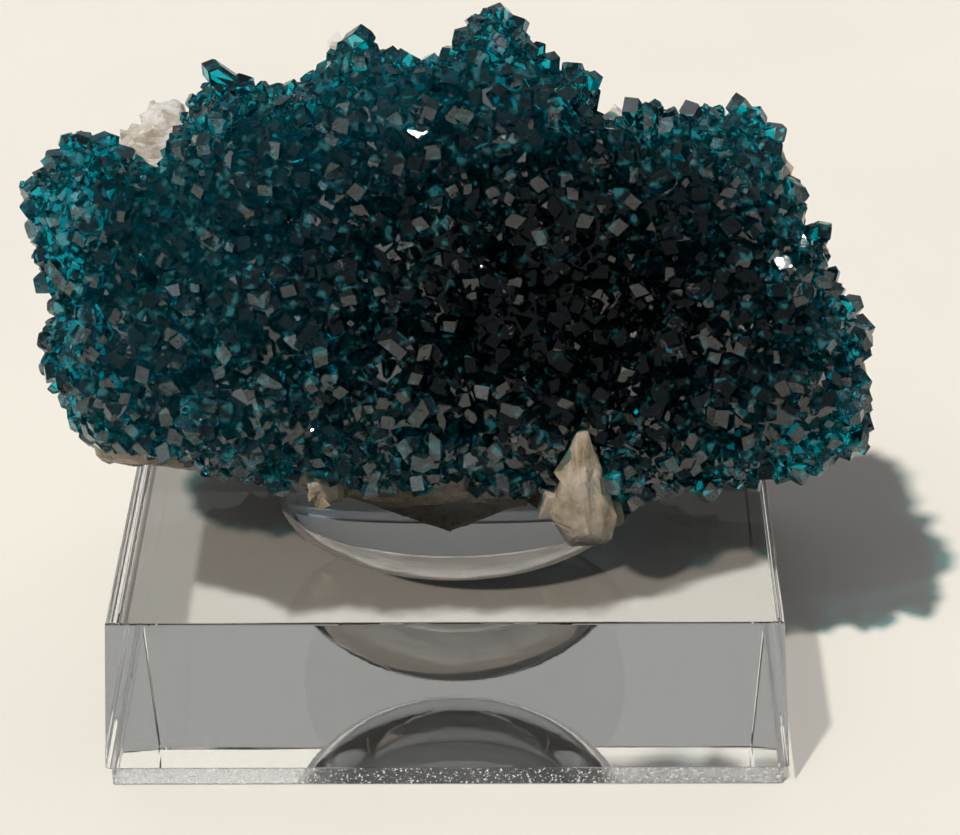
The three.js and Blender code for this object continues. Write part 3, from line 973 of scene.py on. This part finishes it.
@dataclass
class CalciteMatrix:
    """The pale rock behind and below the crust, with small rhombs and a bare ridge."""

    voxel: float = 0.75 * MM
    depth: float = 0.7 * MM
    grain: float = 2.6 * MM
    step_share: float = 0.55
    fine_share: float = 0.25
    fine_scale: float = 2.3
    keel_limit: float = 28.0 * MM
    keel_front: float = 3 * MM
    keel_lift: float = 0.8
    rhomb_kinds: int = 8
    rhomb_tries: int = 900
    rhomb_radii: tuple[float, float] = (0.7 * MM, 2.6 * MM)
    rhomb_power: float = 2.5
    rhomb_spacing: float = 0.9
    rhomb_clearance: float = 1.8
    rhomb_sink: tuple[float, float] = (0.2, 0.6)
    rhomb_floor: float = 29.5 * MM
    rhomb_tilt: float = 0.4
    rhomb_uneven: float = 6.0
    upper_reach: tuple[float, float] = (0.55, 0.8)
    lower_reach: tuple[float, float] = (0.6, 0.85)
    tip_tilt: float = 0.3
    ridge_cuts: int = 5
    ridge_fold: float = 0.35 * MM
    fold_width: float = 1.1 * MM
    fold_length: float = 5 * MM
    chip_width: float = 0.9 * MM
    chip_share: float = 0.5
    seed: int = 5
    # Corners of the bare ridge, along, up and out of the plate, in millimetres
    ridge: tuple = (
        (17, 10.2, 10.2), (18.6, 10.4, 9.6), (15.8, 4.5, 9.4), (20, 4.8, 9), (13.6, -1.2, 6.6),
        (22.4, -1, 6.4), (17.2, -4.6, 5), (21.8, -4.4, 4.6), (17.5, 3.8, 11.2),
        (18.6, -3.4, 7.8), (13.4, 0, -5), (22.6, 0, -5), (17.6, 9.5, -3), (20.5, -6.5, -2),
        (16.5, -6.5, -2),
    )
    # Pale tips that show along the crust's lower edge: along, up and out of the plate, radius
    tips: tuple = (
        (-15.5, 4.2, 5.5, 2.3), (-13.4, 2.6, 6.4, 2.0), (-17.2, 2.2, 4.6, 1.8),
        (-6.6, 3.4, 6.6, 1.7), (-3.4, 1.6, 6.2, 2.0), (2.0, 4.2, 7.0, 2.4),
        (4.4, 1.4, 6.2, 2.0), (8.6, 2.0, 5.8, 1.8), (11.6, 3.0, 6.4, 1.7),
    )

    def broken(self, mesh: bpy.types.Mesh) -> None:
        """Sinks the surface by small flat-bottomed steps and lifts the keel's front.

        Args:
            mesh: The mesh, which is changed.
        """
        normals = [corner.normal.copy() for corner in mesh.vertices]
        for corner, normal in zip(mesh.vertices, normals):
            place = corner.co / self.grain
            near = noise.voronoi(place)[0]
            fine = noise.fractal(place * self.fine_scale, 1.0, 2.0, 3)
            sink = self.step_share * (near[1] - near[0]) + self.fine_share * abs(fine)
            corner.co -= normal * self.depth * min(1.0, max(0.0, sink))
            if corner.co.y < 0 and corner.co.z < self.keel_limit:
                share = min(1.0, -corner.co.y / self.keel_front)
                corner.co.z += self.keel_lift * share * (self.keel_limit - corner.co.z)

    def rhomb(self, rng: random.Random) -> bpy.types.Mesh:
        """Builds one cleavage rhomb of radius 1, standing on a corner.

        Args:
            rng: The random source.

        Returns:
            The rhomb.
        """
        planes = []
        for side in range(3):
            angle = math.radians(120 * side + rng.uniform(-self.rhomb_uneven, self.rhomb_uneven))
            out = Vector((math.cos(angle), math.sin(angle), 1.0))
            planes.append((out, rng.uniform(*self.upper_reach)))
            planes.append((-out, rng.uniform(*self.lower_reach)))
        return hull_of_planes(planes)

    def bare_ridge(self) -> bpy.types.Mesh:
        """Builds the ridge with folds along its length.

        Returns:
            The closed mesh.
        """
        bm = bmesh.new()
        for along, up, out in self.ridge:
            bm.verts.new(on_plate(along, up, out))
        bmesh.ops.convex_hull(bm, input=bm.verts)
        bmesh.ops.subdivide_edges(bm, edges=bm.edges, cuts=self.ridge_cuts, use_grid_fill=True)
        bmesh.ops.triangulate(bm, faces=bm.faces)
        bm.normal_update()
        moves = []
        for corner in bm.verts:
            along = corner.co.x / self.fold_width
            up = corner.co.dot(PLATE_UP) / self.fold_length
            fold = noise.noise(Vector((along, up, 0.0)))
            chip = noise.noise(corner.co / self.chip_width)
            moves.append(corner.normal * self.ridge_fold * (fold + self.chip_share * chip))
        for corner, move in zip(bm.verts, moves):
            corner.co += move
        mesh = bpy.data.meshes.new("ridge")
        bm.to_mesh(mesh)
        bm.free()
        return mesh

    def seeds(self, mesh: bpy.types.Mesh, rng: random.Random) -> list[Seed]:
        """Strews rhombs over the back and sides, and sets the tips below the crust.

        Args:
            mesh: The rock.
            rng: The random source.

        Returns:
            The seeds.
        """
        low, high = (Vector(corner) for corner in CAD_BOX)
        facets = facets_of(mesh, lambda middle, normal: (
            middle.z > self.rhomb_floor and normal.dot(PLATE_OUT) < 0.1))
        small, large = self.rhomb_radii
        radii = [small + (large - small) * rng.random() ** self.rhomb_power
                 for _ in range(self.rhomb_tries)]
        radii.sort(reverse=True)
        room = SpacedPoints(2 * large)
        found = []
        weights = [facet.area for facet in facets]
        for radius, facet in zip(radii, rng.choices(facets, weights, k=self.rhomb_tries)):
            place = sum(facet.corners, Vector()) / 3
            margin = self.rhomb_clearance * radius
            clear = all(low[i] + margin < place[i] < high[i] - margin for i in range(3))
            if not clear or not room.add(place, radius, self.rhomb_spacing):
                continue
            direction = strayed(facet.normal, self.rhomb_tilt, rng)
            turn = turn_towards(direction, rng.uniform(0, math.tau))
            size = Vector((radius, radius, radius))
            sunk = place - facet.normal * radius * rng.uniform(*self.rhomb_sink)
            found.append(Seed(sunk, turn, size, rng.randrange(self.rhomb_kinds)))
        for along, up, out, radius in self.tips:
            direction = strayed(PLATE_UP + PLATE_OUT, self.tip_tilt, rng)
            turn = turn_towards(direction, rng.uniform(0, math.tau))
            size = Vector((radius, radius, radius)) * MM
            kind = rng.randrange(self.rhomb_kinds)
            found.append(Seed(on_plate(along, up, out), turn, size, kind))
        return found

    def build(self) -> bpy.types.Object:
        """Builds and dresses the matrix.

        Returns:
            The piece.
        """
        def add(holder: bpy.types.Object) -> None:
            """Adds the remesh to an object."""
            remesh = holder.modifiers.new("remesh", "REMESH")
            remesh.mode = "VOXEL"
            remesh.voxel_size = self.voxel

        rng = random.Random(self.seed)
        mesh = evaluated(cad_copy("matrix"), add)
        self.broken(mesh)
        kinds = [self.rhomb(rng) for _ in range(self.rhomb_kinds)]
        seeds = self.seeds(mesh, rng)
        kinds.append(self.bare_ridge())
        seeds.append(Seed(Vector(), Quaternion(), Vector((1, 1, 1)), self.rhomb_kinds))
        mesh = fused(mesh, seeds, kinds)
        mesh.materials.clear()
        mesh.materials.append(CalciteFinish().material())
        return shown(mesh, "calcite_rock", "matrix")


@dataclass
class AcrylicBlock:
    """The clear block with drafted sides, a ground foot strip and a scooped recess."""

    top_width: float = 87 * MM
    top_depth: float = 66 * MM
    height: float = 25.4 * MM
    draft: float = math.radians(3.64)
    foot_height: float = 3.1 * MM
    foot_inset: float = 0.7 * MM
    recess_centre: tuple[float, float] = (1 * MM, 0.0)
    recess_radii: tuple[float, float, float] = (24.8 * MM, 17.6 * MM, 22.9 * MM)
    edge: float = 0.28 * MM

    def outside(self) -> bpy.types.Mesh:
        """Builds the block without its recess.

        Returns:
            The closed mesh.
        """
        bm = bmesh.new()
        flare = (self.height - self.foot_height) * math.tan(self.draft)
        levels = [
            (0.0, flare - self.foot_inset),
            (self.foot_height, flare - self.foot_inset),
            (self.foot_height, flare),
            (self.height, 0.0),
        ]
        rings = []
        for level, spread in levels:
            half_x = self.top_width / 2 + spread
            half_y = self.top_depth / 2 + spread
            signs = ((-1, -1), (1, -1), (1, 1), (-1, 1))
            rings.append([bm.verts.new((sx * half_x, sy * half_y, level)) for sx, sy in signs])
        for lower, upper in zip(rings, rings[1:]):
            for i in range(4):
                j = (i + 1) % 4
                bm.faces.new((lower[i], lower[j], upper[j], upper[i]))
        bm.faces.new(rings[-1])
        bm.faces.new(list(reversed(rings[0])))
        bmesh.ops.bevel(
            bm, geom=list(bm.edges), offset=self.edge, segments=3, profile=0.5, affect="EDGES",
        )
        bmesh.ops.recalc_face_normals(bm, faces=bm.faces)
        mesh = bpy.data.meshes.new("block")
        bm.to_mesh(mesh)
        bm.free()
        return mesh

    def scoop(self) -> bpy.types.Mesh:
        """Builds the solid that the recess is cut with.

        Returns:
            The closed mesh.
        """
        bm = bmesh.new()
        bmesh.ops.create_uvsphere(bm, u_segments=160, v_segments=96, radius=1)
        place = Matrix.Translation((*self.recess_centre, self.height))
        size = Matrix.Diagonal((*self.recess_radii, 1))
        bmesh.ops.transform(bm, matrix=place @ size, verts=bm.verts)
        mesh = bpy.data.meshes.new("scoop")
        bm.to_mesh(mesh)
        bm.free()
        return mesh

    def build(self) -> bpy.types.Object:
        """Builds and dresses the block.

        Returns:
            The piece.
        """
        cutter = bpy.data.objects.new("scoop", self.scoop())

        def add(holder: bpy.types.Object) -> None:
            """Adds the cut to an object."""
            bpy.context.scene.collection.objects.link(cutter)
            cut = holder.modifiers.new("cut", "BOOLEAN")
            cut.operation = "DIFFERENCE"
            cut.solver = "MANIFOLD"
            cut.object = cutter

        mesh = evaluated(self.outside(), add)
        bpy.data.objects.remove(cutter)
        mesh.materials.clear()
        finish = AcrylicFinish()
        mesh.materials.append(finish.material())
        kinds = []
        for face in mesh.polygons:
            inside = self.in_recess(face.center)
            face.use_smooth = inside
            face.material_index = 0
            kinds.append(float(self.kind_of(face, inside).value))
        mesh.attributes.new(finish.layer, "FLOAT", "FACE").data.foreach_set("value", kinds)
        return shown(mesh, "display_block", "acrylic_base")

    def kind_of(self, face: bpy.types.MeshPolygon, inside: bool) -> Face:
        """Returns the kind of surface that a face of the block belongs to.

        Args:
            face: The face.
            inside: Whether it is on the recess.

        Returns:
            The kind.
        """
        if inside:
            return Face.BOWL
        if abs(face.normal.z) > 0.5:
            return Face.TOP if face.center.z > self.height / 2 else Face.FRONT
        if face.center.z < self.foot_height:
            return Face.FOOT
        return Face.SIDE if abs(face.normal.x) > 0.5 else Face.FRONT

    def in_recess(self, place: Vector) -> bool:
        """Says whether a point of the surface is on the recess.

        Args:
            place: The point.

        Returns:
            True if it is.
        """
        x = (place.x - self.recess_centre[0]) / self.recess_radii[0]
        y = (place.y - self.recess_centre[1]) / self.recess_radii[1]
        z = (place.z - self.height) / self.recess_radii[2]
        return z < -0.001 and abs(math.sqrt(x * x + y * y + z * z) - 1) < 0.02


@dataclass
class Studio:
    """Floor, lights and camera."""

    floor_half: float = 2.5
    key_travel: tuple[float, float, float] = (13.2, 19.3, -40.0)
    key_strength: float = 2.9
    key_angle: float = math.radians(2.4)
    key_colour: tuple[float, float, float] = (1.0, 0.97, 0.91)
    fill_place: tuple[float, float, float] = (-0.55, -0.75, 1.1)
    fill_size: float = 0.6
    fill_power: float = 1.6
    fill_aim: tuple[float, float, float] = (0, 0, 40 * MM)
    room_front: tuple[float, float, float] = (0.125, 0.13, 0.14)
    room_back: tuple[float, float, float] = (0.29, 0.285, 0.275)
    room_turn: float = 0.7
    floor_gap: float = 0.05 * MM
    eye: tuple[float, float, float] = (10.4 * MM, -347.9 * MM, 245.5 * MM)
    pitch: float = math.radians(31.025)
    yaw: float = math.radians(-0.9955)
    roll: float = math.radians(0.7344)
    focal_pixels: float = 3000
    frame_pixels: float = 960
    sensor: float = 36.0
    bounces: int = 9
    noise_limit: float = 0.1
    brightest_bounce: float = 2.0

    def lay_floor(self) -> None:
        """Lays the floor."""
        half = self.floor_half
        low = -self.floor_gap
        corners = [(-half, -half, low), (half, -half, low), (half, half, low), (-half, half, low)]
        mesh = bpy.data.meshes.new("floor")
        mesh.from_pydata(corners, [], [(0, 1, 2, 3)])
        mesh.materials.append(PaperFinish().material())
        floor = bpy.data.objects.new("floor", mesh)
        bpy.context.scene.collection.objects.link(floor)

    def hang_lights(self) -> None:
        """Adds the key light, the soft fill and the room's own light."""
        scene = bpy.context.scene
        key = bpy.data.lights.new("key", "SUN")
        key.energy = self.key_strength
        key.angle = self.key_angle
        key.color = self.key_colour
        key_holder = bpy.data.objects.new("key", key)
        key_holder.rotation_mode = "QUATERNION"
        travel = Vector(self.key_travel).normalized()
        key_holder.rotation_quaternion = (-UP).rotation_difference(travel)
        scene.collection.objects.link(key_holder)
        fill = bpy.data.lights.new("fill", "AREA")
        fill.shape = "SQUARE"
        fill.size = self.fill_size
        fill.energy = self.fill_power
        fill_holder = bpy.data.objects.new("fill", fill)
        fill_holder.location = self.fill_place
        fill_holder.rotation_mode = "QUATERNION"
        aim = (Vector(self.fill_aim) - Vector(self.fill_place)).normalized()
        fill_holder.rotation_quaternion = (-UP).rotation_difference(aim)
        scene.collection.objects.link(fill_holder)
        world = bpy.data.worlds.new("room")
        scene.world = world
        sketch = NodeSketch(world)
        direction = sketch.node("ShaderNodeTexCoord").outputs["Generated"]
        behind = sketch.node("ShaderNodeSeparateXYZ", {0: direction}).outputs["Y"]
        share = sketch.node("ShaderNodeMapRange", {
            "Value": behind, "From Min": 0.0, "From Max": self.room_turn,
        }).outputs["Result"]
        colour = sketch.ramp(share, [(0.0, self.room_front), (1.0, self.room_back)])
        light = sketch.node("ShaderNodeBackground", {"Color": colour})
        sketch.node("ShaderNodeOutputWorld", {"Surface": light.outputs[0]})

    def set_camera(self) -> None:
        """Puts the camera at the photograph's viewing angle."""
        forward = Vector((
            math.sin(self.yaw) * math.cos(self.pitch),
            math.cos(self.yaw) * math.cos(self.pitch),
            -math.sin(self.pitch),
        ))
        level = Vector((math.cos(self.yaw), -math.sin(self.yaw), 0))
        down = forward.cross(level)
        right = math.cos(self.roll) * level + math.sin(self.roll) * down
        below = -math.sin(self.roll) * level + math.cos(self.roll) * down
        lens = bpy.data.cameras.new("camera")
        lens.sensor_width = self.sensor
        lens.lens = self.focal_pixels / self.frame_pixels * self.sensor
        lens.clip_start = 0.01
        holder = bpy.data.objects.new("camera", lens)
        turn = Matrix((right, -below, -forward)).transposed().to_4x4()
        holder.matrix_world = Matrix.Translation(self.eye) @ turn
        bpy.context.scene.collection.objects.link(holder)
        bpy.context.scene.camera = holder

    def set_light_paths(self) -> None:
        """Lets light pass through many crystal faces and keeps whites and blacks as they are."""
        scene = bpy.context.scene
        scene.view_settings.view_transform = "Standard"
        scene.cycles.max_bounces = self.bounces
        scene.cycles.transmission_bounces = self.bounces
        scene.cycles.adaptive_threshold = self.noise_limit
        scene.cycles.caustics_reflective = False
        scene.cycles.caustics_refractive = False
        scene.cycles.sample_clamp_indirect = self.brightest_bounce

    def build(self) -> None:
        """Builds the studio."""
        self.set_camera()
        self.lay_floor()
        self.hang_lights()
        self.set_light_paths()


def main() -> None:
    """Builds the studio and the pieces."""
    logging.basicConfig(level=logging.INFO, format="%(name)s: %(message)s")
    Studio().build()
    AcrylicBlock().build()
    CalciteMatrix().build()
    DioptaseCrust().build()


if __name__ == "__main__":
    main()
